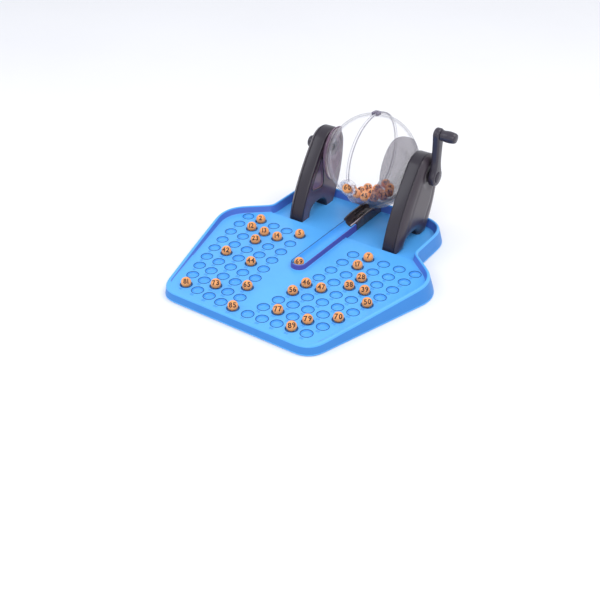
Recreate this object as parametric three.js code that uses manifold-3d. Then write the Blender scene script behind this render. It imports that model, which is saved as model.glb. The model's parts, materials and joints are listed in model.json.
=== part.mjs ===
// Bingo cage: a clear two-part globe on smoked uprights, turned by a crank, on a blue number tray.
// Units are millimetres. +X runs along the globe's axle towards the crank, +Y towards the back,
// +Z up. The origin is in the middle of the tray, on the surface that it stands on.
import * as THREE from 'three';
import { mergeVertices } from 'three/addons/utils/BufferGeometryUtils.js';
import Module from 'manifold-3d';

const wasm = await Module();
wasm.setup();

// ---------- driving dimensions ----------
const GAP = 0.3;                    // clearance between neighbouring pieces
const FAR = 200;                    // beyond every piece; reach of the blocks that only cut

const BALL_R = 6;
const CORNER_STEPS = 6;

// Corners [x, y, radius] of the tray's right half, from the front to the back: top edge and foot.
const TOP_CORNERS = [[102, -155, 28], [153, 24, 44], [106, 64, 14], [105, 150, 40]];
const FOOT_CORNERS = [[103, -158, 28], [161, 24, 46], [110, 68, 12], [109, 154, 40]];
const FIELD_Z = 12;                 // top of the number field
const DECK_Z = 9;                   // floor of the deck that carries the uprights
const RIM_Z = 21;                   // rim round the shoulders and the deck
const RIM_FULL_Y = 24;              // the rim has its full height from here to the back
const DECK_Y = 60;                  // line where the field meets the deck
const RIM_W = 4;
const SHELL = 2.5;
const FIELD_CAVITY_Z = 6.5;
const DECK_CAVITY_Z = 4.5;
const STEP_Y = DECK_Y - 3;          // the underside steps down here
const KEEL_HALF = 13;

const WELL_R = 6.7;
const WELL_DEPTH = 3;
const FIELD_Y = -55;                // middle row of wells
const BLOCK_X = 69.4;               // middle column of each block
const COLUMN_PITCH = 19.5;
const ROW_PITCH = 21.2;
const COLUMN_LEAN = 4.2;            // a column moves this far inward with each row towards the front
const COLUMN_BOW = 0.36;
const COLUMN_FAN = 0.3;
const ROW_RISE = 1.3;
const ROW_FAN = 0.11;

const GROOVE_R = 7.5;               // ball channel, on a raised bank
const GROOVE_FRONT_Y = -28;
const GROOVE_BACK_Y = 85;
const GROOVE_TILT = 0.011;
const GROOVE_FLOOR_Z = 11;
const BANK_R = 9.8;
const BANK_Z = 18.5;

const AXLE_Y = 134;
const AXLE_Z = 87;
const AXLE_R = 5;
const AXLE_CLEARANCE = 0.4;

const GLOBE_R = 57;
const GLOBE_WALL = 2;
const FLANGE_R = 59.5;
const FLANGE_HALF = 2.2;
const HUB_R = 9;
const HUB_START = GLOBE_R - 3;      // hub, stub and neck begin inside the shell's wall
const OUTLET_TURN = THREE.MathUtils.degToRad(-74);   // outlet faces the front, a little below level
const OUTLET_R = 6.9;
const OUTLET_BALL_OUT = 4.2;        // how far past the globe's surface the ball in the outlet sits
const NECK_R = 8.2;
const NECK_END = 60.5;
const RING_R = 10;
const RING_START = 58.6;
const RING_END = 61.5;
const RING_CUTS = 6;                // each cut makes two gaps between the teeth
const RING_CUT_W = 1.5;

const CLASP_W = 9;
const CLASP_LENGTH = 12;
const CLASP_T = 6;
const CLASP_TURNS = [22, -110].map(THREE.MathUtils.degToRad);   // from the outlet

const SUPPORT_X = 59;               // inner face of an upright
const SUPPORT_WALL = 2.5;
const SUPPORT_DEPTH = 16;
const COVER_DEPTH = 2.2;
const COVER_BEVEL = 2.5;
const FOOT_Z = 7.3;
const SOCKET_Z = 7;
const ARCH_Z = 24;                  // top of the arch between the feet
const BACK_BEND_Z = 47;             // the back edge bends out to the head here
const FRONT_BEND_Z = 49;            // the front edge bends in from the foot here
const FRONT_BEND = 8;               // how far the front edge has leaned back at its bend
const HEAD_END = THREE.MathUtils.degToRad(150);
const UPRIGHT_WALL = 3;             // thickness round the rim of an upright
const HEAD_R = 26;
const BOSS_R = 10;

// Cups that follow the globe. Distances are from the globe's centre: the edge's x at axle height,
// how far the cup reaches up, down and back, and the lean of its edge below the axle.
const CUP_IN = 60;
const CUP_OUT = 62.4;
const WING = { edge: 38, lean: THREE.MathUtils.degToRad(25), tip: 12, up: 44, down: 67, back: 12 };
const SHORT_CUP = { edge: 47, lean: 0, tip: 47, up: 28, down: 34, back: 14 };

const CHUTE_FRONT_Y = 86;
const CHUTE_BACK_Y = 145;
const CHUTE_HALF = 10;
const CHUTE_IN_HALF = 7.6;
const CHUTE_TOP_Z = 23;
const CHUTE_END_Z = 18;             // lower back end, so that the outlet passes over it
const CHUTE_FLOOR_Z = 12.4;
const CHUTE_RISE = 1.1;
const CHUTE_END_WALL = 2.4;
const CHUTE_NOSE = 14;              // length over which the top runs down at the front
const CHUTE_NOSE_DROP = 2;
const CHUTE_TAIL = 12;              // and at the back

const ARM_X = 83;
const STUB_END = ARM_X - 1.5;
const ARM_T = 9;
const ARM_LENGTH = 55;
const ARM_HUB_R = 11;
const ARM_TIP_R = 8;
const ARM_NECK = 0.1 * Math.PI;     // how far round the hub the arm's sides begin
const ARM_BEVEL = 1.2;
const GRIP_R = 7;
const GRIP_LENGTH = 19;
const GRIP_END_WALL = 3.5;
const PIN_R = 2.5;
const CAP_R = 8;
const CAP_START = 81;
const CAP_END = 95;

// ---------- materials ----------
const plastic = (color, roughness, opacity = 1) =>
  new THREE.MeshStandardMaterial({ color, roughness, metalness: 0, opacity, transparent: opacity < 1 });
const BLUE = () => plastic(0x4f9fe8, 0.35);
const SMOKE = () => plastic(0x4a454e, 0.25, 0.8);
const CLEAR = () => plastic(0xf4f7fa, 0.05, 0.25);
const DARK = () => plastic(0x2b2933, 0.35);
const ORANGE = () => plastic(0xe9a067, 0.4);

// ---------- solids ----------
function solid(geometry) {
  const bare = geometry.index ? geometry.toNonIndexed() : geometry.clone();
  bare.deleteAttribute('normal');
  bare.deleteAttribute('uv');
  const merged = mergeVertices(bare, 1e-4);
  return new wasm.Manifold(new wasm.Mesh({
    numProp: 3,
    vertProperties: new Float32Array(merged.attributes.position.array),
    triVerts: new Uint32Array(merged.index.array),
  }));
}

function geometryOf(body) {
  const mesh = body.getMesh();
  const geometry = new THREE.BufferGeometry();
  geometry.setAttribute('position', new THREE.BufferAttribute(new Float32Array(mesh.vertProperties), 3));
  geometry.setIndex(new THREE.BufferAttribute(new Uint32Array(mesh.triVerts), 1));
  geometry.computeVertexNormals();
  return geometry;
}

function block(x0, x1, y0, y1, z0, z1) {
  const box = new THREE.BoxGeometry(x1 - x0, y1 - y0, z1 - z0);
  return solid(box.translate((x0 + x1) / 2, (y0 + y1) / 2, (z0 + z1) / 2));
}

// A cylinder along +X.
function rod(radius, x0, x1, sides = 20, y = 0, z = 0) {
  const cylinder = new THREE.CylinderGeometry(radius, radius, x1 - x0, sides);
  return solid(cylinder.rotateZ(-Math.PI / 2).translate((x0 + x1) / 2, y, z));
}

// A cylinder along -Z, from one depth to another below the origin.
function drop(radius, from, to, sides = 20) {
  const cylinder = new THREE.CylinderGeometry(radius, radius, to - from, sides);
  return solid(cylinder.rotateX(Math.PI / 2).translate(0, 0, -(from + to) / 2));
}

function ball(radius, x, y, z, wide = 24, high = 16) {
  return solid(new THREE.SphereGeometry(radius, wide, high).rotateX(Math.PI / 2).translate(x, y, z));
}

// A side view, drawn as (y, z), pushed out along +X from x0.
function sideExtrude(shape, x0, options) {
  const geometry = new THREE.ExtrudeGeometry(shape, { bevelEnabled: false, curveSegments: 8, ...options });
  geometry.rotateZ(Math.PI / 2).rotateY(Math.PI / 2);
  return solid(geometry.translate(x0, 0, 0));
}

// ---------- tray ----------
// Moves each edge of an outline inward, and keeps the rounding of its corners in step.
function insetCorners(half, inset) {
  const left = half.map(([x, y, r]) => [-x, y, r]).reverse();
  const corners = [...half, ...left];
  return corners.map(([x, y, radius], i) => {
    const before = corners.at(i - 1);
    const after = corners[(i + 1) % corners.length];
    const a = new THREE.Vector2(x - before[0], y - before[1]).normalize();
    const b = new THREE.Vector2(after[0] - x, after[1] - y).normalize();
    const turn = a.cross(b);
    const inward = new THREE.Vector2(-a.y - b.y, a.x + b.x);
    const push = inset / (1 + a.dot(b));
    return [x + inward.x * push, y + inward.y * push, radius - Math.sign(turn) * inset];
  });
}

// Points of an outline: each corner is a quadratic curve of CORNER_STEPS steps.
function outlinePoints(half, inset) {
  const corners = insetCorners(half, inset);
  return corners.flatMap(([x, y, radius], i) => {
    const corner = new THREE.Vector2(x, y);
    const before = corners.at(i - 1);
    const after = corners[(i + 1) % corners.length];
    const a = new THREE.Vector2(before[0], before[1]).sub(corner).normalize();
    const b = new THREE.Vector2(after[0], after[1]).sub(corner).normalize();
    const cut = radius / Math.tan(a.angleTo(b) / 2);
    const start = corner.clone().addScaledVector(a, cut);
    const end = corner.clone().addScaledVector(b, cut);
    return new THREE.QuadraticBezierCurve(start, corner, end).getPoints(CORNER_STEPS);
  });
}

// A closed body between two outlines with the same number of points.
function loft(low, high, z0, z1) {
  const count = low.length;
  const positions = [
    ...low.flatMap((p) => [p.x, p.y, z0]),
    ...high.flatMap((p) => [p.x, p.y, z1]),
  ];
  const faces = [];
  for (let i = 0; i < count; i += 1) {
    const next = (i + 1) % count;
    faces.push(i, next, count + next, i, count + next, count + i);
  }
  for (const [a, b, c] of THREE.ShapeUtils.triangulateShape(low, [])) faces.push(c, b, a);
  for (const [a, b, c] of THREE.ShapeUtils.triangulateShape(high, [])) {
    faces.push(count + a, count + b, count + c);
  }
  const geometry = new THREE.BufferGeometry();
  geometry.setAttribute('position', new THREE.Float32BufferAttribute(positions, 3));
  geometry.setIndex(faces);
  return solid(geometry);
}

// The tray's outside: a skirt that leans in from the foot to the rim.
function trayBlank(inset) {
  return loft(outlinePoints(FOOT_CORNERS, inset), outlinePoints(TOP_CORNERS, inset), 0, RIM_Z);
}

function trayPrism(inset, y0, y1, z0, z1) {
  const outline = outlinePoints(TOP_CORNERS, inset);
  return loft(outline, outline, z0, z1).intersect(block(-FAR, FAR, y0, y1, z0 - 1, z1 + 1));
}

// Well centre for a row (0 at the back) and a column (0 nearest the middle) of one block.
function wellAt(row, column, side) {
  const u = row - 4;
  const v = column - 2;
  const x = BLOCK_X - COLUMN_LEAN * u - COLUMN_BOW * u * u + (COLUMN_PITCH - COLUMN_FAN * u) * v;
  const y = FIELD_Y - ROW_PITCH * u + ROW_FAN * u * u + (ROW_RISE + ROW_FAN * u) * v;
  return [side * x, y];
}

// Numbers run along each row from the left edge to the right edge of the tray.
function wellOf(number) {
  const row = Math.floor((number - 1) / 10);
  const place = (number - 1) % 10;
  return place < 5 ? wellAt(row, 4 - place, -1) : wellAt(row, place - 5, 1);
}

// The bank that carries the ball channel, with a round front end.
function bank() {
  const shape = new THREE.Shape();
  shape.absarc(0, GROOVE_FRONT_Y, BANK_R, Math.PI, 2 * Math.PI, false);
  shape.lineTo(BANK_R, GROOVE_BACK_Y);
  shape.lineTo(-BANK_R, GROOVE_BACK_Y);
  const depth = BANK_Z - DECK_CAVITY_Z;
  const geometry = new THREE.ExtrudeGeometry(shape, { depth, bevelEnabled: false, curveSegments: 8 });
  return solid(geometry.translate(0, 0, DECK_CAVITY_Z));
}

function groove() {
  const length = GROOVE_BACK_Y - GROOVE_FRONT_Y + GROOVE_R;
  const trough = new THREE.CapsuleGeometry(GROOVE_R, length, 4, 20);
  trough.translate(0, length / 2, 0).rotateX(GROOVE_TILT);
  return solid(trough.translate(0, GROOVE_FRONT_Y, GROOVE_FLOOR_Z + GROOVE_R));
}

const FEET = [[63, 82], [120, 138]];   // front and back edge of each foot

function makeTray() {
  let tray = trayBlank(0);
  tray = tray.subtract(trayPrism(RIM_W, -FAR, DECK_Y, FIELD_Z, RIM_Z + 2));
  tray = tray.subtract(trayPrism(RIM_W, DECK_Y - 0.01, FAR, DECK_Z, RIM_Z + 2));
  // The rim runs down from the shoulders to nothing at the front.
  const frontY = TOP_CORNERS[0][1];
  const slope = Math.atan2(RIM_Z - FIELD_Z, RIM_FULL_Y - frontY);
  const plane = new THREE.BoxGeometry(2 * FAR, 2 * FAR, FAR).translate(0, 0, FAR / 2).rotateX(slope);
  plane.translate(0, frontY, FIELD_Z);
  tray = tray.subtract(solid(plane));
  for (let number = 1; number <= 90; number += 1) {
    const [x, y] = wellOf(number);
    const well = new THREE.CylinderGeometry(WELL_R, WELL_R, WELL_DEPTH + 1, 8);
    well.rotateX(Math.PI / 2).translate(x, y, FIELD_Z - WELL_DEPTH + (WELL_DEPTH + 1) / 2);
    tray = tray.subtract(solid(well));
  }
  tray = tray.add(bank()).subtract(groove());
  for (const side of [-1, 1]) {
    const near = side * (SUPPORT_X - GAP);
    const far = side * (SUPPORT_X + SUPPORT_DEPTH + GAP);
    for (const [y0, y1] of FEET) {
      const x0 = Math.min(near, far);
      const x1 = Math.max(near, far);
      tray = tray.subtract(block(x0, x1, y0 - GAP, y1 + GAP, SOCKET_Z, FIELD_Z + 1));
    }
    // The underside is hollow on both sides of a solid keel.
    const half = side < 0 ? [-FAR, -KEEL_HALF] : [KEEL_HALF, FAR];
    const inside = trayBlank(SHELL).translate([0, 0, -SHELL]);
    const under = inside.intersect(block(...half, -FAR, STEP_Y, -SHELL, FIELD_CAVITY_Z));
    const underDeck = inside.intersect(block(...half, STEP_Y - 0.01, FAR, -SHELL, DECK_CAVITY_Z));
    tray = tray.subtract(under).subtract(underDeck);
  }
  return tray;
}

// ---------- uprights ----------
// Side view of an upright: leaning front edge, round head, arched foot.
function uprightShape(inset) {
  const shape = new THREE.Shape();
  const foot = FOOT_Z;
  const ankle = DECK_Z + 1;
  const middle = (FEET[0][1] + FEET[1][0]) / 2;
  shape.moveTo(FEET[0][0] + inset, foot);
  shape.lineTo(FEET[0][1] - inset, foot);
  shape.quadraticCurveTo(FEET[0][1] - inset, ARCH_Z + inset, middle, ARCH_Z + inset);
  shape.quadraticCurveTo(FEET[1][0] + inset, ARCH_Z + inset, FEET[1][0] + inset, foot);
  shape.lineTo(FEET[1][1] - inset, foot);
  shape.lineTo(FEET[1][1] - inset, ankle);
  shape.quadraticCurveTo(AXLE_Y + HEAD_R - inset, BACK_BEND_Z, AXLE_Y + HEAD_R - inset, AXLE_Z);
  shape.absarc(AXLE_Y, AXLE_Z, HEAD_R - inset, 0, HEAD_END, false);
  shape.quadraticCurveTo(FEET[0][0] + FRONT_BEND + inset, FRONT_BEND_Z, FEET[0][0] + inset, ankle);
  shape.lineTo(FEET[0][0] + inset, foot);
  return shape;
}

function cup({ edge, lean, tip, up, down, back }) {
  const shell = ball(CUP_OUT, 0, AXLE_Y, AXLE_Z, 28, 18).subtract(ball(CUP_IN, 0, AXLE_Y, AXLE_Z, 28, 18));
  const wall = SUPPORT_X + SUPPORT_WALL;
  const leaning = new THREE.BoxGeometry(FAR, FAR, FAR).translate(FAR / 2, 0, 0).rotateY(lean);
  const lower = solid(leaning.translate(edge, AXLE_Y, AXLE_Z))
    .intersect(block(tip, wall, AXLE_Y - FAR, AXLE_Y + back, AXLE_Z - down, AXLE_Z));
  const upper = block(edge, wall, AXLE_Y - FAR, AXLE_Y + back, AXLE_Z - GAP, AXLE_Z + up);
  return shell.intersect(lower.add(upper));
}

// An upright on the right; the left one is a mirror image with a shorter cup.
function makeSupport(cupSizes) {
  const outside = sideExtrude(uprightShape(0), SUPPORT_X, { depth: SUPPORT_DEPTH });
  const hollow = sideExtrude(uprightShape(UPRIGHT_WALL), SUPPORT_X + SUPPORT_WALL, { depth: SUPPORT_DEPTH })
    .intersect(block(0, FAR, 0, FAR, FOOT_Z + UPRIGHT_WALL, FAR));
  const boss = rod(BOSS_R, SUPPORT_X, SUPPORT_X + SUPPORT_DEPTH, 20, AXLE_Y, AXLE_Z);
  const bore = rod(AXLE_R + AXLE_CLEARANCE, 0, FAR, 20, AXLE_Y, AXLE_Z);
  return outside.subtract(hollow).add(boss).add(cup(cupSizes)).subtract(bore);
}

function makeCover() {
  const start = SUPPORT_X + SUPPORT_DEPTH + GAP;
  const plate = sideExtrude(uprightShape(COVER_BEVEL), start, {
    depth: COVER_DEPTH, bevelEnabled: true, bevelSize: COVER_BEVEL, bevelThickness: COVER_BEVEL,
    bevelSegments: 1,
  }).intersect(block(start, FAR, 0, FAR, DECK_Z + 2, FAR));
  return plate.subtract(rod(AXLE_R + AXLE_CLEARANCE, 0, FAR, 20, AXLE_Y, AXLE_Z));
}

// ---------- chute ----------
function makeChute() {
  const side = new THREE.Shape();
  side.moveTo(CHUTE_FRONT_Y, DECK_Z + GAP);
  side.lineTo(CHUTE_BACK_Y, DECK_Z + GAP);
  side.lineTo(CHUTE_BACK_Y, CHUTE_END_Z);
  side.lineTo(CHUTE_BACK_Y - CHUTE_TAIL, CHUTE_TOP_Z);
  side.lineTo(CHUTE_FRONT_Y + CHUTE_NOSE, CHUTE_TOP_Z);
  side.lineTo(CHUTE_FRONT_Y, CHUTE_TOP_Z - CHUTE_NOSE_DROP);
  const body = sideExtrude(side, -CHUTE_HALF, { depth: 2 * CHUTE_HALF });
  const run = new THREE.Shape();
  run.moveTo(CHUTE_FRONT_Y - 1, CHUTE_FLOOR_Z);
  run.lineTo(CHUTE_BACK_Y - CHUTE_END_WALL, CHUTE_FLOOR_Z + CHUTE_RISE);
  run.lineTo(CHUTE_BACK_Y - CHUTE_END_WALL, FAR);
  run.lineTo(CHUTE_FRONT_Y - 1, FAR);
  return body.subtract(sideExtrude(run, -CHUTE_IN_HALF, { depth: 2 * CHUTE_IN_HALF }));
}

// ---------- globe, centred on its own centre with the outlet towards -Z ----------
function makeHalfGlobe(side) {
  const outer = ball(GLOBE_R, 0, 0, 0, 28, 18);
  const inner = ball(GLOBE_R - GLOBE_WALL, 0, 0, 0, 28, 18);
  const hub = rod(HUB_R, HUB_START, SUPPORT_X - GAP);
  const stub = rod(AXLE_R, HUB_START, STUB_END, 20);
  const flange = rod(FLANGE_R, -FLANGE_HALF, FLANGE_HALF, 48);
  const neck = drop(NECK_R, HUB_START, NECK_END);
  const outlet = drop(OUTLET_R, GLOBE_R / 2, FAR);
  const shell = outer.add(flange).add(neck).subtract(inner).subtract(outlet);
  const whole = side < 0 ? shell.add(hub.add(stub).mirror([1, 0, 0])) : shell.add(hub.add(stub));
  return side < 0
    ? whole.intersect(block(-FAR, -GAP / 2, -FAR, FAR, -FAR, FAR))
    : whole.intersect(block(GAP / 2, FAR, -FAR, FAR, -FAR, FAR));
}

// Collar on the outlet, with a crown of small teeth round its mouth.
function makeOutletRing() {
  let ring = drop(RING_R, RING_START, RING_END, 24).subtract(drop(NECK_R + GAP, 0, FAR, 24));
  for (let cut = 0; cut < RING_CUTS; cut += 1) {
    const slot = new THREE.BoxGeometry(RING_CUT_W, 3 * RING_R, RING_CUT_W).translate(0, 0, -RING_END);
    ring = ring.subtract(solid(slot.rotateZ((cut * Math.PI) / RING_CUTS)));
  }
  return ring.subtract(rod(FLANGE_R + GAP, -FLANGE_HALF - GAP, FLANGE_HALF + GAP, 48));
}

// Clip that grips both flanges at the seam.
function makeClasp(turn) {
  const outside = new THREE.BoxGeometry(CLASP_W, CLASP_LENGTH, CLASP_T).translate(0, 0, -FLANGE_R - 0.5);
  const jaws = rod(FLANGE_R + GAP, -FLANGE_HALF - GAP, FLANGE_HALF + GAP, 48);
  const clip = solid(outside).subtract(jaws).subtract(ball(GLOBE_R + GAP, 0, 0, 0, 28, 18));
  return clip.rotate([THREE.MathUtils.radToDeg(turn), 0, 0]);
}

// ---------- crank, centred on the axle ----------
function makeArm() {
  const outline = new THREE.Shape();
  outline.absarc(0, 0, ARM_HUB_R, Math.PI - ARM_NECK, 2 * Math.PI + ARM_NECK, false);
  outline.absarc(0, ARM_LENGTH, ARM_TIP_R, 0, Math.PI, false);
  const arm = sideExtrude(outline, ARM_X + ARM_BEVEL, {
    depth: ARM_T - 2 * ARM_BEVEL,
    bevelEnabled: true,
    bevelSize: -ARM_BEVEL,
    bevelThickness: ARM_BEVEL,
    bevelSegments: 1,
  });
  const face = ARM_X + ARM_T;
  const pin = rod(PIN_R, face - 1, face + GAP + GRIP_LENGTH - GRIP_END_WALL - GAP, 12, 0, ARM_LENGTH);
  return arm.add(pin);
}

function makeGrip() {
  const start = ARM_X + ARM_T + GAP;
  const profile = [
    new THREE.Vector2(PIN_R + GAP, 0),
    new THREE.Vector2(GRIP_R - 1, 0),
    new THREE.Vector2(GRIP_R, 2),
    new THREE.Vector2(GRIP_R, GRIP_LENGTH - 3),
    new THREE.Vector2(GRIP_R - 2, GRIP_LENGTH),
    new THREE.Vector2(0, GRIP_LENGTH),
    new THREE.Vector2(0, GRIP_LENGTH - GRIP_END_WALL),
    new THREE.Vector2(PIN_R + GAP, GRIP_LENGTH - GRIP_END_WALL),
    new THREE.Vector2(PIN_R + GAP, 0),
  ];
  const grip = new THREE.LatheGeometry(profile, 20).rotateZ(-Math.PI / 2);
  return solid(grip.translate(start, 0, ARM_LENGTH));
}

// Button on the far end of the left axle stub.
function makeAxleCap() {
  const cap = rod(CAP_R, -CAP_END, -CAP_START, 20);
  return cap.subtract(rod(AXLE_R + GAP, -(STUB_END + GAP), 0, 20));
}

// ---------- balls ----------
const POCKET_BALLS = [2, 5, 7, 12, 13, 14, 17, 23, 28, 38, 39, 42, 44, 46, 47, 50, 56, 65, 70, 73, 77, 79,
  81, 85, 89];
const GLOBE_BALLS = [41, 40, 53, 33, 16, 36, 35, 27, 11, 45, 52, 72, 61, 8, 90];
const CHANNEL_BALL = 69;
const OUTLET_BALL = 60;
const HEAP_STEP = THREE.MathUtils.degToRad(14.9);
const HEAP_TWIST = 0.35;            // each ring of the heap is turned by this, in radians

// Balls lie in the bottom of the globe: one, then six round it, then a part of the next ring.
function heapPlace(index) {
  const reach = GLOBE_R - GLOBE_WALL - BALL_R - 2 * GAP;
  const rings = [[0, 1], [1, 6], [2, 12]];
  let first = 0;
  for (const [ring, count] of rings) {
    if (index < first + count) {
      const polar = ring * HEAP_STEP;
      const round = ((index - first) / count) * 2 * Math.PI + HEAP_TWIST * ring + Math.PI;
      const out = reach * Math.sin(polar);
      return [out * Math.cos(round), AXLE_Y + out * Math.sin(round), AXLE_Z - reach * Math.cos(polar)];
    }
    first += count;
  }
  return [0, AXLE_Y, AXLE_Z];
}

// ---------- assembly ----------
const bingoCage = new THREE.Group();

function place(parent, name, body, material) {
  const mesh = new THREE.Mesh(geometryOf(body), material);
  mesh.name = name;
  parent.add(mesh);
  return mesh;
}

function placeBall(parent, number, x, y, z) {
  const geometry = new THREE.SphereGeometry(BALL_R, 8, 6).rotateX(Math.PI / 2);
  const mesh = new THREE.Mesh(geometry, ORANGE());
  mesh.name = `ball_${String(number).padStart(2, '0')}`;
  mesh.position.set(x, y, z);
  parent.add(mesh);
}

place(bingoCage, 'tray', makeTray(), BLUE());

const cover = makeCover();
place(bingoCage, 'support_right', makeSupport(WING), SMOKE());
place(bingoCage, 'support_left', makeSupport(SHORT_CUP).mirror([1, 0, 0]), SMOKE());
place(bingoCage, 'support_cover_right', cover, SMOKE());
place(bingoCage, 'support_cover_left', cover.mirror([1, 0, 0]), SMOKE());
place(bingoCage, 'chute', makeChute(), SMOKE());

const globe = new THREE.Group();
globe.position.set(0, AXLE_Y, AXLE_Z);
bingoCage.add(globe);

const turned = new THREE.Group();
turned.rotation.x = OUTLET_TURN;
globe.add(turned);
place(turned, 'globe_left', makeHalfGlobe(-1), CLEAR());
place(turned, 'globe_right', makeHalfGlobe(1), CLEAR());
place(turned, 'outlet_ring', makeOutletRing(), CLEAR());
place(turned, 'globe_clasp_front', makeClasp(CLASP_TURNS[0]), CLEAR());
place(turned, 'globe_clasp_top', makeClasp(CLASP_TURNS[1]), CLEAR());
placeBall(turned, OUTLET_BALL, 0, 0, -(GLOBE_R + OUTLET_BALL_OUT));

place(globe, 'axle_cap', makeAxleCap(), DARK());
place(globe, 'crank_arm', makeArm(), DARK());
place(globe, 'crank_grip', makeGrip(), DARK());

for (const number of POCKET_BALLS) {
  const [x, y] = wellOf(number);
  placeBall(bingoCage, number, x, y, FIELD_Z - WELL_DEPTH + BALL_R + GAP);
}
placeBall(bingoCage, CHANNEL_BALL, 0, GROOVE_FRONT_Y, GROOVE_FLOOR_Z + BALL_R + GAP);
GLOBE_BALLS.forEach((number, index) => placeBall(bingoCage, number, ...heapPlace(index)));

export default bingoCage;
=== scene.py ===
"""Bingo cage: the looks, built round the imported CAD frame.

Shapes are made in millimetres and scaled to metres when they become objects.
"""
import json
import math
import random

import bmesh
import bpy
from mathutils import Matrix, Vector
from mathutils.geometry import delaunay_2d_cdt


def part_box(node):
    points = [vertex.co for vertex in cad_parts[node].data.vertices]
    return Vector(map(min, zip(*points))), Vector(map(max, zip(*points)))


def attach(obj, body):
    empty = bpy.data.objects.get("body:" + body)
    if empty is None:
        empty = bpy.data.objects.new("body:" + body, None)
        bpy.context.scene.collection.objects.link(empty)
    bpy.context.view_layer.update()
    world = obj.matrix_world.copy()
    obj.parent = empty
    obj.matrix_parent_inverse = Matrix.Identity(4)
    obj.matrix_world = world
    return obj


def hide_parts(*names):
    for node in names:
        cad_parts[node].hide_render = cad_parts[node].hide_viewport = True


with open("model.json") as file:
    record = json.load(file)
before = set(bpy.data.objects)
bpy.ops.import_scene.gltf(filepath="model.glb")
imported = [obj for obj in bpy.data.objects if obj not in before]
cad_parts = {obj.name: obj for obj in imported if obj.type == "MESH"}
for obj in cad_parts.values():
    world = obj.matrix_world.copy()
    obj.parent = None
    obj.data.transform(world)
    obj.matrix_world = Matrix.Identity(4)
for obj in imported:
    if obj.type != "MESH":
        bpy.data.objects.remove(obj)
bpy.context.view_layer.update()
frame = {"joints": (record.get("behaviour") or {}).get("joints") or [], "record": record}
MM = 0.001


def centre_of(node):
    low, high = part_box(node)
    return (low + high) / 2 / MM


# ---------- driving dimensions, in millimetres ----------
# Right half of the tray's outline from front to back, at the rim and at the floor: x, y, corner radius.
TOP_CORNERS = [(102, -155, 28), (153, 24, 44), (106, 64, 14), (105, 150, 40)]
FOOT_CORNERS = [(103, -158, 28), (161, 24, 46), (110, 68, 12), (109, 154, 40)]
FIELD_Z = 12
DECK_Z = 9
RIM_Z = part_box("tray")[1].z / MM
RIM_FULL_Y = 24
RIM_W = 4
DECK_Y = 60
SHELL = 2.5
CEILING_Z = 6
KEEL_HALF = 13
KEEL_FRONT_Y = -152
KEEL_BACK_Y = 145

# The wells stand in a bowed 9 x 5 block on each side: pitches, and how they lean, bow and fan per step.
WELL_DEPTH = 3
FIELD_Y = -55
BLOCK_X = 69.4
MIDDLE_ROW = 4
MIDDLE_COLUMN = 2
COLUMNS = 5
COLUMN_PITCH = 19.5
ROW_PITCH = 21.2
COLUMN_LEAN = 4.2
COLUMN_BOW = 0.36
COLUMN_FAN = 0.3
ROW_RISE = 1.3
ROW_FAN = 0.11

GROOVE_R = 7.5
GROOVE_FRONT_Y = -28
GROOVE_BACK_Y = 85
GROOVE_FLOOR_Z = 11
GROOVE_TILT = 0.011
BANK_R = 9.8
BANK_Z = 18.5

AXLE = Vector(frame["joints"][0]["pos_m"]) / MM
GLOBE_R = 57
GLOBE_WALL = 2
FLANGE_R = 59.5
FLANGE_HALF = 2.2
OUTLET_TURN = math.radians(-74)
OUTLET = Vector((0, math.sin(OUTLET_TURN), -math.cos(OUTLET_TURN)))

SUPPORT_X = 59
SUPPORT_END_X = 75
COVER_X = 75.3
COVER_BULGE = 6.2
FEET = ((63, 82), (120, 138))
FOOT_Z = 7.3
ARCH_Z = 24
COVER_ARCH_Z = 20.5
HEAD_R = 26
BORE_R = 6.2
CUP_IN = 60
CUP_OUT = 62.4
# Reach of each cup from the globe's centre: its edge's x at axle height, up, down, back, and
# towards the brow and the heel, directions turned back from straight up and straight down.
# The corner number says how sharply two of these limits meet.
BROW_TURN = math.radians(30)
WING = {"edge": 38, "lean": math.radians(25), "tip": 12, "up": 44, "down": 67, "back": 12,
        "brow": 35, "heel": 60, "corner": 14}
SHORT_CUP = {"edge": 45, "lean": 0, "tip": 12, "up": 29, "down": 36, "back": 14,
             "brow": 30, "heel": 25, "corner": 7}

BALL_R = 6

CAMERA_AT = Vector((0.5284, -0.7904, 0.5931))
CAMERA_AZIMUTH = math.radians(34.66)
CAMERA_ELEVATION = math.radians(34.18)
CAMERA_LENS = 55.56
TO_CAMERA = Vector((
    math.sin(CAMERA_AZIMUTH) * math.cos(CAMERA_ELEVATION),
    -math.cos(CAMERA_AZIMUTH) * math.cos(CAMERA_ELEVATION),
    math.sin(CAMERA_ELEVATION),
))


# ---------- materials ----------
def srgb(red, green, blue):
    """A colour given as 0 to 255 screen values, in linear light."""
    def linear(value):
        value /= 255
        return value / 12.92 if value <= 0.04045 else ((value + 0.055) / 1.055) ** 2.4
    return (linear(red), linear(green), linear(blue), 1)


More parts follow.
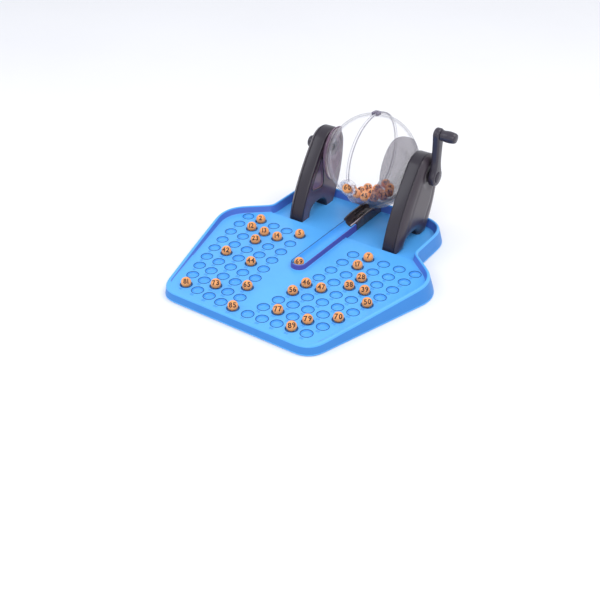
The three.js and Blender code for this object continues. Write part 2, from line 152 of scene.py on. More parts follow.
def plastic(name, dark, light, rough=(0.28, 0.4), grain=0.03, blotch=18, **shader_values):
    """Moulded plastic: two close tones in soft blotches, uneven gloss and a fine surface grain."""
    made = bpy.data.materials.new(name)
    made.use_nodes = True
    nodes = made.node_tree.nodes
    links = made.node_tree.links
    shader = nodes["Principled BSDF"]
    for socket, value in shader_values.items():
        shader.inputs[socket.replace("_", " ")].default_value = value
    place = nodes.new("ShaderNodeTexCoord")
    blotches = nodes.new("ShaderNodeTexNoise")
    blotches.inputs["Scale"].default_value = blotch
    blotches.inputs["Detail"].default_value = 3
    links.new(place.outputs["Object"], blotches.inputs["Vector"])
    tones = nodes.new("ShaderNodeMix")
    tones.data_type = "RGBA"
    tones.inputs["A"].default_value = dark
    tones.inputs["B"].default_value = light
    links.new(blotches.outputs["Fac"], tones.inputs["Factor"])
    links.new(tones.outputs["Result"], shader.inputs["Base Color"])
    gloss = nodes.new("ShaderNodeMapRange")
    gloss.inputs["To Min"].default_value = rough[0]
    gloss.inputs["To Max"].default_value = rough[1]
    links.new(blotches.outputs["Fac"], gloss.inputs["Value"])
    links.new(gloss.outputs["Result"], shader.inputs["Roughness"])
    fine = nodes.new("ShaderNodeTexNoise")
    fine.inputs["Scale"].default_value = 900
    fine.inputs["Detail"].default_value = 2
    links.new(place.outputs["Object"], fine.inputs["Vector"])
    bump = nodes.new("ShaderNodeBump")
    bump.inputs["Strength"].default_value = grain
    bump.inputs["Distance"].default_value = 0.0003
    links.new(fine.outputs["Fac"], bump.inputs["Height"])
    links.new(bump.outputs["Normal"], shader.inputs["Normal"])
    return made


def edge_alpha(made, middle, edge, blend=0.35, rim=None, start=0.0):
    """Clear plastic looks denser where it is seen edge on; the dark rim colour it takes there is painted
    edge shade.
    """
    nodes = made.node_tree.nodes
    links = made.node_tree.links
    shader = nodes["Principled BSDF"]
    facing = nodes.new("ShaderNodeLayerWeight")
    facing.inputs["Blend"].default_value = blend
    density = nodes.new("ShaderNodeMapRange")
    density.inputs["From Min"].default_value = start
    density.inputs["To Min"].default_value = middle
    density.inputs["To Max"].default_value = edge
    links.new(facing.outputs["Facing"], density.inputs["Value"])
    links.new(density.outputs["Result"], shader.inputs["Alpha"])
    # The rim colour mixed in towards the edges is painted edge shade.
    if rim:
        near_rim = nodes.new("ShaderNodeMapRange")
        near_rim.inputs["From Min"].default_value = start
        near_rim.inputs["From Max"].default_value = 0.85
        links.new(facing.outputs["Facing"], near_rim.inputs["Value"])
        tones = shader.inputs["Base Color"].links[0].from_node
        mixed = nodes.new("ShaderNodeMix")
        mixed.data_type = "RGBA"
        mixed.inputs["B"].default_value = rim
        links.new(near_rim.outputs["Result"], mixed.inputs["Factor"])
        links.new(tones.outputs["Result"], mixed.inputs["A"])
        links.new(mixed.outputs["Result"], shader.inputs["Base Color"])
    return made


BLUE = plastic("tray_plastic", srgb(74, 160, 236), srgb(88, 176, 246), rough=(0.3, 0.42))
RING_BLUE = plastic("tray_ring", srgb(10, 64, 130), srgb(16, 78, 148))
# Darker blue for the steep inner walls of the rim and shoulders: painted shade.
SHADED_WALL_BLUE = plastic("tray_wall_painted_shade", srgb(66, 106, 196), srgb(78, 120, 208))
NUMBER_BLUE = plastic("tray_number", srgb(62, 142, 220), srgb(74, 156, 230))
# Darker blue for the upright band of the tray's skirt: painted shade on the same plastic as the top.
SHADED_SKIRT_BLUE = plastic("tray_skirt_painted_shade", srgb(53, 123, 199), srgb(63, 137, 211), rough=(0.36, 0.48),
                     Specular_IOR_Level=0.25)
# Deep violet blue for the outer flank of the channel's bank: painted shade.
SHADED_BANK_BLUE = plastic("tray_bank_painted_shade", srgb(66, 66, 150), srgb(80, 80, 168))
SMOKE = plastic("smoke", srgb(54, 46, 54), srgb(75, 66, 74), rough=(0.26, 0.38), grain=0.012,
                Alpha=0.93, Coat_Weight=0.15, Coat_Roughness=0.15)
SMOKE_EDGE = plastic("smoke_edge", srgb(28, 22, 34), srgb(40, 32, 45), rough=(0.26, 0.36),
                     grain=0.012, Alpha=0.98, Coat_Weight=0.15, Coat_Roughness=0.15)
SMOKE_FACE = plastic("smoke_face", srgb(84, 68, 80), srgb(102, 84, 96), rough=(0.2, 0.3),
                     grain=0.012, Alpha=0.97, Coat_Weight=0.15, Coat_Roughness=0.15)
SMOKE_PANEL = plastic("smoke_panel", srgb(136, 110, 128), srgb(156, 128, 146), rough=(0.16, 0.26),
                      grain=0.012, Alpha=0.96, Coat_Weight=0.15, Coat_Roughness=0.15)
SMOKE_CUP = plastic("smoke_cup", srgb(74, 62, 78), srgb(96, 84, 100), rough=(0.1, 0.2), grain=0.012,
                    Alpha=0.42, Coat_Weight=0.5, Coat_Roughness=0.05)
SMOKE_CRESCENT = plastic("smoke_crescent", srgb(94, 66, 90), srgb(120, 90, 116), rough=(0.1, 0.2),
                         grain=0.012, Alpha=0.78, Coat_Weight=0.5, Coat_Roughness=0.05)
CHUTE_DARK = plastic("chute_dark", srgb(57, 50, 54), srgb(75, 66, 70), rough=(0.22, 0.34),
                     Alpha=0.97, Coat_Weight=0.3, Coat_Roughness=0.1)
RIB_GREY = plastic("chute_rib_grey", srgb(206, 196, 210), srgb(224, 214, 228), rough=(0.14, 0.24))
CRANK_DARK = plastic("crank_dark", srgb(40, 36, 46), srgb(58, 52, 64), rough=(0.2, 0.32))
ORANGE = plastic("ball_orange", srgb(236, 152, 84), srgb(246, 170, 102), rough=(0.3, 0.42), blotch=260)
INK = plastic("ball_ink", srgb(52, 28, 20), srgb(70, 38, 26), rough=(0.4, 0.5), blotch=300)
# The rim colours of the clear parts are painted edge shade; the rising alpha is their real density edge on.
CLEAR = edge_alpha(
    plastic("clear", srgb(232, 230, 238), srgb(246, 245, 250), rough=(0.03, 0.06), grain=0.004,
            Coat_Weight=0.15, Coat_Roughness=0.02, Specular_IOR_Level=0.12),
    0.035, 0.85, rim=srgb(34, 27, 45), start=0.5)
CLEAR_EDGE = edge_alpha(
    plastic("clear_edge", srgb(196, 194, 208), srgb(222, 220, 230), rough=(0.05, 0.1), grain=0.004,
            Coat_Weight=0.5, Coat_Roughness=0.03), 0.16, 0.7, rim=srgb(120, 108, 130), start=0.2)
SEAM_GREY = plastic("seam_grey", srgb(84, 76, 92), srgb(104, 96, 112), rough=(0.1, 0.2), grain=0.01,
                    Alpha=0.75)
CLASP_GREY = plastic("clasp_grey", srgb(112, 104, 124), srgb(134, 126, 146), rough=(0.12, 0.22),
                     grain=0.01, Alpha=0.82, Coat_Weight=0.4, Coat_Roughness=0.05)
CROWN = edge_alpha(
    plastic("crown", srgb(226, 226, 234), srgb(244, 244, 250), rough=(0.05, 0.12), grain=0.006,
            Coat_Weight=0.6, Coat_Roughness=0.03), 0.42, 0.92, rim=srgb(66, 62, 88), start=0.22)


# ---------- mesh helpers ----------
def finish_piece(name, mesh, materials, body, nodes=(), sharp=38):
    """A bmesh in millimetres becomes an object in metres that rides on a body."""
    bmesh.ops.remove_doubles(mesh, verts=mesh.verts, dist=1e-4)
    bmesh.ops.recalc_face_normals(mesh, faces=mesh.faces)
    mesh.transform(Matrix.Scale(MM, 4))
    data = bpy.data.meshes.new(name)
    mesh.to_mesh(data)
    mesh.free()
    for made in materials:
        data.materials.append(made)
    data.shade_smooth()
    data.set_sharp_from_angle(angle=math.radians(sharp))
    piece = bpy.data.objects.new(name, data)
    bpy.context.scene.collection.objects.link(piece)
    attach(piece, body)
    if nodes:
        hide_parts(*nodes)
    return piece


def add_strip(mesh, rings, closed=True, material=0):
    """Quads between rings with the same number of points. Returns the vertices of each ring."""
    rows = [[mesh.verts.new(p) for p in ring] for ring in rings]
    for low, high in zip(rows, rows[1:]):
        count = len(low)
        for i in range(count if closed else count - 1):
            j = (i + 1) % count
            corners = list(dict.fromkeys((low[i], low[j], high[j], high[i])))
            face = mesh.faces.new(corners)
            face.material_index = material if isinstance(material, int) else material(face)
    return rows


def height_of(face):
    heights = [v.co.z for v in face.verts]
    return max(heights) - min(heights)


def add_flat(mesh, loops, keep, height, material=0):
    """Fills the plane between closed loops of (x, y). keep says which middles stay; height lifts them."""
    points, edges = [], []
    for loop, closed in loops:
        first = len(points)
        points += [Vector(p) for p in loop]
        last = len(points) - 1
        edges += [(i, i + 1) for i in range(first, last)]
        if closed:
            edges.append((last, first))
    out, _, faces, *_ = delaunay_2d_cdt(points, edges, [], 0, 1e-5)
    verts = [mesh.verts.new(height(p.x, p.y)) for p in out]
    for face in faces:
        middle = sum((out[i] for i in face), Vector((0, 0))) / len(face)
        if keep(middle.x, middle.y):
            mesh.faces.new([verts[i] for i in face]).material_index = material
    bmesh.ops.delete(mesh, geom=[v for v in verts if not v.link_faces], context="VERTS")


def inside(polygon, x, y):
    hit = False
    for (x0, y0), (x1, y1) in zip(polygon, polygon[1:] + polygon[:1]):
        if (y0 > y) != (y1 > y) and x < x0 + (y - y0) * (x1 - x0) / (y1 - y0):
            hit = not hit
    return hit


def turn_to(direction, up=Vector((0, 0, 1))):
    """Rotation that takes +Z to a direction, with +Y towards up."""
    z = Vector(direction).normalized()
    x = Vector(up).cross(z).normalized()
    return Matrix((x, z.cross(x), z)).transposed().to_4x4()


def add_lathe(mesh, profile, place=Matrix(), steps=48, material=0, swell=None):
    """Turns a closed or axis-to-axis (radius, height) profile about Z, then places it."""
    rings = []
    for step in range(steps):
        angle = 2 * math.pi * step / steps
        ring = []
        for index, (radius, height) in enumerate(profile):
            if swell:
                radius, height = swell(index, angle, radius, height)
            ring.append(place @ Vector((radius * math.cos(angle), radius * math.sin(angle), height)))
        rings.append(ring)
    add_strip(mesh, rings + [rings[0]], closed=False, material=material)


def arc(centre, radius, start, end, steps):
    """Points on an arc, with angles in degrees."""
    turn = [math.radians(start + (end - start) * i / steps) for i in range(steps + 1)]
    return [(centre[0] + radius * math.cos(a), centre[1] + radius * math.sin(a)) for a in turn]


def curve(a, b, c, steps):
    """Points on a quadratic curve from a to c with control point b."""
    out = []
    for i in range(steps + 1):
        t = i / steps
        out.append(tuple((1 - t) ** 2 * p + 2 * t * (1 - t) * q + t * t * r for p, q, r in zip(a, b, c)))
    return out


def boolean(target, tool, operation):
    """Joins or cuts two bmeshes with Blender's exact solver and returns the result."""
    objects = []
    for mesh in (target, tool):
        bmesh.ops.remove_doubles(mesh, verts=mesh.verts, dist=1e-4)
        bmesh.ops.recalc_face_normals(mesh, faces=mesh.faces)
        data = bpy.data.meshes.new("work")
        mesh.to_mesh(data)
        mesh.free()
        item = bpy.data.objects.new("work", data)
        bpy.context.scene.collection.objects.link(item)
        objects.append(item)
    cut = objects[0].modifiers.new("cut", "BOOLEAN")
    cut.object = objects[1]
    cut.operation = operation
    cut.solver = "EXACT"
    bpy.context.view_layer.update()
    done = objects[0].evaluated_get(bpy.context.evaluated_depsgraph_get())
    result = bmesh.new()
    result.from_mesh(done.to_mesh())
    done.to_mesh_clear()
    for item in objects:
        data = item.data
        bpy.data.objects.remove(item)
        bpy.data.meshes.remove(data)
    return result


def add_box(mesh, low, high, bevel=0.0, steps=2):
    made = bmesh.ops.create_cube(mesh, size=1)
    size = Vector(high) - Vector(low)
    middle = (Vector(high) + Vector(low)) / 2
    for v in made["verts"]:
        v.co = Vector((v.co.x * size.x, v.co.y * size.y, v.co.z * size.z)) + middle
    if bevel:
        edges = {e for v in made["verts"] for e in v.link_edges}
        bmesh.ops.bevel(mesh, geom=list(edges), offset=bevel, segments=steps, profile=0.5,
                        affect="EDGES")


# ---------- tray ----------
CORNER_STEPS = 10
EDGE_CUTS = 14


def tray_outline(half, inset):
    """The tray's outline, moved inward: each corner is a quadratic curve, each edge has even cuts."""
    corners = half + [(-x, y, r) for x, y, r in reversed(half)]
    moved = []
    for i, (x, y, radius) in enumerate(corners):
        before = Vector(corners[i - 1][:2])
        after = Vector(corners[(i + 1) % len(corners)][:2])
        here = Vector((x, y))
        a = (here - before).normalized()
        b = (after - here).normalized()
        turn = a.x * b.y - a.y * b.x
        inward = Vector((-a.y - b.y, a.x + b.x))
        moved.append((here + inward * inset / (1 + a.dot(b)), radius - math.copysign(inset, turn)))
    bends = []
    for i, (here, radius) in enumerate(moved):
        a = (moved[i - 1][0] - here).normalized()
        b = (moved[(i + 1) % len(moved)][0] - here).normalized()
        cut = radius / math.tan(a.angle(b) / 2)
        bends.append(curve(here + a * cut, here, here + b * cut, CORNER_STEPS))
    points = []
    for i, bend in enumerate(bends):
        points += bend
        start, end = Vector(bend[-1]), Vector(bends[(i + 1) % len(bends)][0])
        points += [tuple(start.lerp(end, k / (EDGE_CUTS + 1))) for k in range(1, EDGE_CUTS + 1)]
    return points


def rim_top(y):
    """The rim runs down from the shoulders to nothing at the front."""
    front = TOP_CORNERS[0][1]
    share = (y - front) / (RIM_FULL_Y - front)
    return FIELD_Z + (RIM_Z - FIELD_Z) * min(1, max(0.02, share))


def well_at(row, column, side):
    u, v = row - MIDDLE_ROW, column - MIDDLE_COLUMN
    x = BLOCK_X - COLUMN_LEAN * u - COLUMN_BOW * u * u + (COLUMN_PITCH - COLUMN_FAN * u) * v
    y = FIELD_Y - ROW_PITCH * u + ROW_FAN * u * u + (ROW_RISE + ROW_FAN * u) * v
    return side * x, y


def well_of(number):
    """A row of ten counts from the outside of the left block to the outside of the right one."""
    row, place = divmod(number - 1, 2 * COLUMNS)
    if place < COLUMNS:
        return well_at(row, COLUMNS - 1 - place, -1)
    return well_at(row, place - COLUMNS, 1)


WELLS = {number: well_of(number) for number in range(1, 91)}
WELL_STEPS = 28
LIP_OUT = 7.5
# (radius, height) from the outside of the lip to the middle of the dish.
WELL_PROFILE = [(LIP_OUT, 0), (7.42, 0.26), (7.2, 0.45), (6.95, 0.45), (6.75, 0.26), (6.66, -0.1),
                (6.5, -1.2), (6.0, -2.2), (5.0, -2.85), (3.4, -WELL_DEPTH), (0, -WELL_DEPTH)]
LIP_RINGS = 5


def channel_hole():
    """A gap in the field, hidden under the bank that carries the channel."""
    half = BANK_R - 1.2
    front = [(half * math.cos(a), GROOVE_FRONT_Y + half * math.sin(a))
             for a in (math.radians(-15 * k) for k in range(13))]
    return [(half, GROOVE_BACK_Y - 1)] + front + [(-half, GROOVE_BACK_Y - 1)]


def make_tray():
    """Skirt, rim, field with its wells, deck and hollow underside, and the keel beneath."""
    mesh = bmesh.new()
    inner = tray_outline(TOP_CORNERS, RIM_W + 1.7)
    right = [p for p in inner if p[0] > 0]
    step_low = max(p[1] for p in right if p[1] <= DECK_Y)
    step_high = min(p[1] for p in right if p[1] > DECK_Y)
    on_deck = [p[1] > DECK_Y for p in inner]
    floors = [DECK_Z if deck else FIELD_Z for deck in on_deck]

    def outside(inset, height):
        low, high = tray_outline(FOOT_CORNERS, inset), tray_outline(TOP_CORNERS, inset)
        ring = []
        for p, q in zip(low, high):
            z = height(q[1])
            ring.append(Vector(p).lerp(Vector(q), min(1, z / RIM_Z)).to_3d() + Vector((0, 0, z)))
        return ring

    def inside_wall(inset, share):
        ring = []
        for (x, y), floor in zip(tray_outline(TOP_CORNERS, inset), floors):
            ring.append((x, y, floor + (rim_top(y) - floor) * share))
        return ring

    ceiling = outside(SHELL + 1.5, lambda y: CEILING_Z)
    skirt = [
        ceiling,
        outside(SHELL, lambda y: CEILING_Z - 1.5),
        outside(SHELL, lambda y: 0.4),
        outside(SHELL - 0.5, lambda y: 0),
        outside(0.5, lambda y: 0),
        outside(0.05, lambda y: 0.5),
        outside(0, lambda y: 1.8),
        outside(0, lambda y: rim_top(y) - 2.2),
        outside(0.25, lambda y: rim_top(y) - 1.1),
        outside(0.8, lambda y: rim_top(y) - 0.35),
        outside(1.5, rim_top),
        outside(2.1, rim_top),
    ]
    add_strip(mesh, skirt[:7])
    # The upright band of the skirt takes the darker blue: painted shade.
    add_strip(mesh, skirt[6:8], material=3)
    add_strip(mesh, skirt[7:])
    add_strip(mesh, [skirt[-1], inside_wall(2.7, 0.97), inside_wall(3.1, 0.88)])
    wall = [inside_wall(3.1, 0.88), inside_wall(RIM_W + 0.3, 0.2), inside_wall(RIM_W + 0.8, 0.06)]
    # Steep faces of the inner wall take the darker blue: painted shade.
    add_strip(mesh, wall, material=lambda face: 2 if height_of(face) > 0.6 else 0)
    add_strip(mesh, [wall[-1], inside_wall(RIM_W + 1.7, 0)])

    loops = [(inner, True), (channel_hole(), True)]
    edge_x = {y: max(p[0] for p in right if p[1] == y) for y in (step_low, step_high)}
    loops += [([(-x, y), (x, y)], False) for y, x in edge_x.items()]
    for x, y in WELLS.values():
        loops.append(([(x + LIP_OUT * math.cos(a), y + LIP_OUT * math.sin(a))
                       for a in (2 * math.pi * k / WELL_STEPS for k in range(WELL_STEPS))], True))
    hole = channel_hole()

    def keep(x, y):
        near = min((x - wx) ** 2 + (y - wy) ** 2 for wx, wy in WELLS.values())
        return inside(inner, x, y) and not inside(hole, x, y) and near > (LIP_OUT * 0.99) ** 2

    middle = (step_low + step_high) / 2
    add_flat(mesh, loops, keep, lambda x, y: (x, y, DECK_Z if y > middle else FIELD_Z))
    under = [(p.x, p.y) for p in ceiling]
    add_flat(mesh, [(under, True)], lambda x, y: inside(under, x, y), lambda x, y: (x, y, CEILING_Z))

    for x, y in WELLS.values():
        place = Matrix.Translation((x, y, FIELD_Z))
        add_lathe(mesh, WELL_PROFILE[:LIP_RINGS + 1], place, WELL_STEPS, material=1)
        add_lathe(mesh, WELL_PROFILE[LIP_RINGS:], place, WELL_STEPS)
    shades = [BLUE, RING_BLUE, SHADED_WALL_BLUE, SHADED_SKIRT_BLUE]
    finish_piece("tray_moulding", mesh, shades, "base", ["tray"])

    keel = bmesh.new()
    add_box(keel, (-KEEL_HALF, KEEL_FRONT_Y, 0), (KEEL_HALF, KEEL_BACK_Y, CEILING_Z), 0.8)
    finish_piece("tray_keel", keel, [BLUE], "base")


def make_channel():
    """The raised bank with the ball channel: one profile swept down one side, round the front and back."""
    arc_steps = 9
    groove = [(GROOVE_R * math.sin(t), GROOVE_R - GROOVE_R * math.cos(t))
              for t in (math.radians(84) * k / arc_steps for k in range(arc_steps + 1))]
    lip = [(7.62, BANK_Z - 0.5), (7.95, BANK_Z - 0.08), (8.5, BANK_Z), (8.7, BANK_Z), (9.1, BANK_Z - 0.05)]
    flank = [(9.55, BANK_Z - 0.45), (BANK_R, BANK_Z - 1.2), (BANK_R, 1.3), (BANK_R + 0.35, 0.35),
             (BANK_R + 1.3, 0), (BANK_R + 1.3, -0.6)]
    stations = [("side", 1, GROOVE_BACK_Y - 6 * k) for k in range(19)]
    stations += [("turn", -math.radians(7.5 * k), 0) for k in range(25)]
    stations += [("side", -1, GROOVE_BACK_Y - 6 * k) for k in reversed(range(19))]

    def section(kind, value, y):
        def put(radius, z):
            if kind == "side":
                return Vector((value * radius, y, z))
            return Vector((radius * math.cos(value), GROOVE_FRONT_Y + radius * math.sin(value), z))
        ring = []
        for radius, rise in groove:
            p = put(radius, 0)
            ring.append(p + Vector((0, 0, GROOVE_FLOOR_Z + rise + GROOVE_TILT * (p.y - GROOVE_FRONT_Y))))
        ring += [put(radius, z) for radius, z in lip]
        top = len(flank) - 4
        for k, (radius, z) in enumerate(flank):
            p = put(radius, 0)
            base = DECK_Z if p.y > DECK_Y else FIELD_Z
            ring.append(p + Vector((0, 0, z if k < top else base + z)))
        return ring

    mesh = bmesh.new()
    rings = [section(*s) for s in stations]
    # From here outwards the outer lip edge and the flank take the deep violet blue: painted shade.
    shade_from = len(groove) + len(lip)
    rows = [[mesh.verts.new(p) for p in ring] for ring in rings]
    for low, high in zip(rows, rows[1:]):
        for i in range(len(low) - 1):
            face = mesh.faces.new((low[i], low[i + 1], high[i + 1], high[i]))
            # On the left the lip's top takes the dark ring blue: a painted shade line along the channel's
            # left edge.
            on_left = face.calc_center_median().x < -3
            if on_left and shade_from - 4 <= i < shade_from:
                face.material_index = 2
            elif shade_from - 2 <= i < shade_from + 3:
                face.material_index = 1
    mesh.faces.new(rows[0] + rows[-1][:0:-1])
    mesh.faces.new([row[-1] for row in rows])
    finish_piece("tray_channel", mesh, [BLUE, SHADED_BANK_BLUE, RING_BLUE], "base")


# ---------- numerals ----------
def glyph_shapes():
    """Outlines of the ten digits in the built-in typeface, one unit high, with their widths."""
    shapes = []
    for digit in "0123456789":
        letter = bpy.data.curves.new("digit", "FONT")
        letter.body = digit
        letter.size = 1
        letter.offset = 0.03
        letter.resolution_u = 4
        letter.extrude = 0.5
        item = bpy.data.objects.new("digit", letter)
        bpy.context.scene.collection.objects.link(item)
        bpy.context.view_layer.update()
        done = item.evaluated_get(bpy.context.evaluated_depsgraph_get())
        mesh = bmesh.new()
        mesh.from_mesh(done.to_mesh())
        done.to_mesh_clear()
        bpy.data.objects.remove(item)
        bpy.data.curves.remove(letter)
        bmesh.ops.remove_doubles(mesh, verts=mesh.verts, dist=1e-4)
        bmesh.ops.triangulate(mesh, faces=mesh.faces)
        for _ in range(3):
            long_edges = [e for e in mesh.edges if e.calc_length() > 0.17]
            if long_edges:
                bmesh.ops.subdivide_edges(mesh, edges=long_edges, cuts=1)
                bmesh.ops.triangulate(mesh, faces=mesh.faces)
        xs = [v.co.x for v in mesh.verts]
        mesh.verts.index_update()
        faces = {frozenset(v.index for v in f.verts): [v.index for v in f.verts] for f in mesh.faces}
        shapes.append(([v.co.copy() for v in mesh.verts], list(faces.values()), min(xs), max(xs)))
        mesh.free()
    return shapes


GLYPHS = glyph_shapes()
GLYPH_HALF = 0.35
TRAY_DIGIT = 3.1
BALL_DIGIT = 5.4


def add_number(mesh, number, height, put, material=0):
    """Writes a number centred on (0, 0). put maps (x, y, 0 to 1 of the thickness) to its place."""
    gap = 0.08
    digits = [GLYPHS[int(c)] for c in str(number)]
    width = sum(g[3] - g[2] for g in digits) + gap * (len(digits) - 1)
    x = -width / 2
    scale = height / (2 * GLYPH_HALF)
    for verts, faces, left, right in digits:
        made = [mesh.verts.new(put((v.x - left + x) * scale, (v.y - GLYPH_HALF) * scale, v.z + 0.5))
                for v in verts]
        for face in faces:
            mesh.faces.new([made[i] for i in face]).material_index = material
        x += right - left + gap


def make_tray_numbers():
    mesh = bmesh.new()
    for number, (wx, wy) in WELLS.items():
        add_number(mesh, number, TRAY_DIGIT, lambda x, y, t: (
            wx + x, wy - LIP_OUT - 2.6 + y, FIELD_Z - 0.15 + 0.37 * t))
    finish_piece("tray_numbers", mesh, [NUMBER_BLUE], "base")


# ---------- balls ----------
def ball_profile():
    """Half a turn of a ball, with the fine seam of its two halves."""
    seam = 1.4
    degrees = [-90 + 7.5 * k for k in range(12)] + [-seam, 0, seam] + [7.5 * (k + 1) for k in range(12)]
    out = []
    for degree in degrees:
        radius = BALL_R - (0.07 if degree == 0 else 0)
        a = math.radians(degree)
        out.append((max(0, radius * math.cos(a)), radius * math.sin(a)))
    out[0] = (0, -BALL_R)
    out[-1] = (0, BALL_R)
    return out


def make_ball(number, body, direction, up, roll=0.0):
    """A ball with its number on two opposite sides."""
    node = f"ball_{number:02d}"
    centre = centre_of(node)
    turned = turn_to(direction, up) @ Matrix.Rotation(roll, 4, "Z")
    mesh = bmesh.new()
    add_lathe(mesh, ball_profile(), turned, steps=40)
    for side in (Matrix(), Matrix.Rotation(math.pi, 4, "X")):
        def put(x, y, t):
            spot = Vector((x, y, math.sqrt(max(0, BALL_R ** 2 - x * x - y * y)))).normalized()
            return turned @ side @ (spot * (BALL_R - 0.1 + 0.2 * t))
        add_number(mesh, number, BALL_DIGIT, put, material=1)
    mesh.transform(Matrix.Translation(centre))
    name = f"ball_{number:02d}_numbered"
    return finish_piece(name, mesh, [ORANGE, INK], body, [node])


def make_balls():
    rng = random.Random(7)
    camera_up = Vector((0, 0, 1))
    for body, nodes in frame["record"]["behaviour"]["bodies"].items():
        for node in nodes:
            if not node.startswith("ball_"):
                continue
            number = int(node[5:])
            in_globe = (centre_of(node) - AXLE).length < GLOBE_R
            sway = 0.32 if in_globe else 0.07
            face = TO_CAMERA + Vector((rng.uniform(-sway, sway), rng.uniform(-sway, sway), 0.25))
            make_ball(number, body, face, camera_up, rng.uniform(-sway, sway))


# ---------- globe ----------
GLOBE_STEPS = 96
AXLE_PLACE = Matrix.Translation(AXLE)
FACING_X = Matrix.Rotation(math.pi / 2, 4, "Y")


def half_profile():
    """(radius, distance from the seam) of a half globe: inner wall, seam face, flange, shell, hub, stub."""
    start = 0.15
    hub_r, hub_end, stub_r, stub_end = 9, 58.7, 5, 81.5
    inner_r = GLOBE_R - GLOBE_WALL
    inner = [(inner_r * math.cos(a), inner_r * math.sin(a))
             for a in (math.radians(90 - 5 * k) for k in range(19))]
    inner[0] = (0, inner_r)
    inner[-1] = (inner_r, start)
    flange = [(FLANGE_R - 0.3, start), (FLANGE_R, start + 0.3), (FLANGE_R, FLANGE_HALF - 0.9),
              (FLANGE_R - 0.5, FLANGE_HALF - 0.3), (FLANGE_R - 1.0, FLANGE_HALF - 0.3),
              (GLOBE_R + 0.6, FLANGE_HALF - 0.3), (GLOBE_R + 0.1, FLANGE_HALF + 0.2)]
    low = math.degrees(math.asin((FLANGE_HALF + 1.2) / GLOBE_R))
    high = math.degrees(math.acos((hub_r + 0.8) / GLOBE_R))
    steps = 18
    shell = [(GLOBE_R * math.cos(a), GLOBE_R * math.sin(a))
             for a in (math.radians(low + (high - low) * k / steps) for k in range(steps + 1))]
    hub = [(hub_r + 0.2, shell[-1][1] + 0.4), (hub_r, hub_end - 0.5), (hub_r - 0.4, hub_end),
           (stub_r + 0.5, hub_end), (stub_r, hub_end + 0.5), (stub_r, stub_end - 0.6),
           (stub_r - 0.6, stub_end), (0, stub_end)]
    return inner + flange + shell + hub


def outlet_place(distance=0.0):
    """+Z runs out of the globe through the outlet."""
    return Matrix.Translation(AXLE + OUTLET * distance) @ turn_to(OUTLET)


def cylinder(radius, low, high, place, steps=48):
    mesh = bmesh.new()
    add_lathe(mesh, [(0, low), (radius, low), (radius, high), (0, high)], place, steps)
    return mesh


def make_half_globe(side):
    word = "right" if side > 0 else "left"
    mesh = bmesh.new()
    facing = AXLE_PLACE @ Matrix.Diagonal((side, 1, 1, 1)) @ FACING_X
    add_lathe(mesh, half_profile(), facing, GLOBE_STEPS)
    neck = cylinder(8.2, 53, 60.5, outlet_place())
    keep = bmesh.new()
    low_x, high_x = sorted((side * 0.15, side * 100))
    add_box(keep, (low_x, AXLE.y - 120, AXLE.z - 120), (high_x, AXLE.y + 120, AXLE.z + 120))
    mesh = boolean(mesh, boolean(neck, keep, "INTERSECT"), "UNION")
    mesh = boolean(mesh, cylinder(6.9, 30, 70, outlet_place()), "DIFFERENCE")
    piece = finish_piece(f"globe_shell_{word}", mesh, [CLEAR, CLEAR_EDGE, SEAM_GREY], "globe",
                         [f"globe_{word}"], sharp=30)
    for face in piece.data.polygons:
        middle = Vector(face.center) / MM - AXLE
        ring = math.hypot(middle.y, middle.z)
        along = middle.dot(OUTLET)
        on_seam = ring > GLOBE_R + 0.3 and abs(middle.x) < FLANGE_HALF
        on_corner = ring > FLANGE_R - 0.9 and abs(middle.x) > FLANGE_HALF - 0.8
        on_neck = along > 50 and (middle - OUTLET * along).length < 8.6
        if on_seam and on_corner and not on_neck:
            face.material_index = 2
        elif on_seam or on_neck or abs(middle.x) > GLOBE_R * 0.975:
            face.material_index = 1


def make_outlet_ring():
    teeth = 14

    def swell(index, angle, radius, height):
        wave = 0.5 + 0.5 * math.cos(teeth * angle)
        if radius > 9.6:
            radius += 1.1 * wave
            height += 0.5 * wave if height > 0 else 0
        return radius, height
    profile = [(8.5, -1.2), (9.9, -1.2), (10.2, -0.8), (10.2, 0.9), (9.9, 1.4), (9.3, 1.6), (8.7, 1.4),
               (8.5, 0.9), (8.5, -1.2)]
    mesh = bmesh.new()
    add_lathe(mesh, profile, outlet_place(60), steps=teeth * 10, swell=swell)
    finish_piece("outlet_crown", mesh, [CROWN], "globe", ["outlet_ring"])


def make_clasp(node, name, shade):
    """A clip over the flanges: a saddle, two jaws and a small lever."""
    out = (centre_of(node) - AXLE)
    out.x = 0
    out.normalize()
    place = Matrix.Translation(AXLE + out * 60) @ turn_to(out, Vector((1, 0, 0)))
    mesh = bmesh.new()
    add_box(mesh, (-5.5, -4.2, -0.1), (5.5, 4.2, 1.5), 0.7, 3)
    for side in (-1, 1):
        low, high = sorted((side * 2.6, side * 4.2))
        add_box(mesh, (-5.0, low, -2.6), (5.0, high, 1.0), 0.5, 2)
    add_box(mesh, (-2.0, -1.6, 1.2), (4.6, 1.6, 2.4), 0.5, 2)
    mesh.transform(place)
    finish_piece(name, mesh, [shade], "globe", [node])


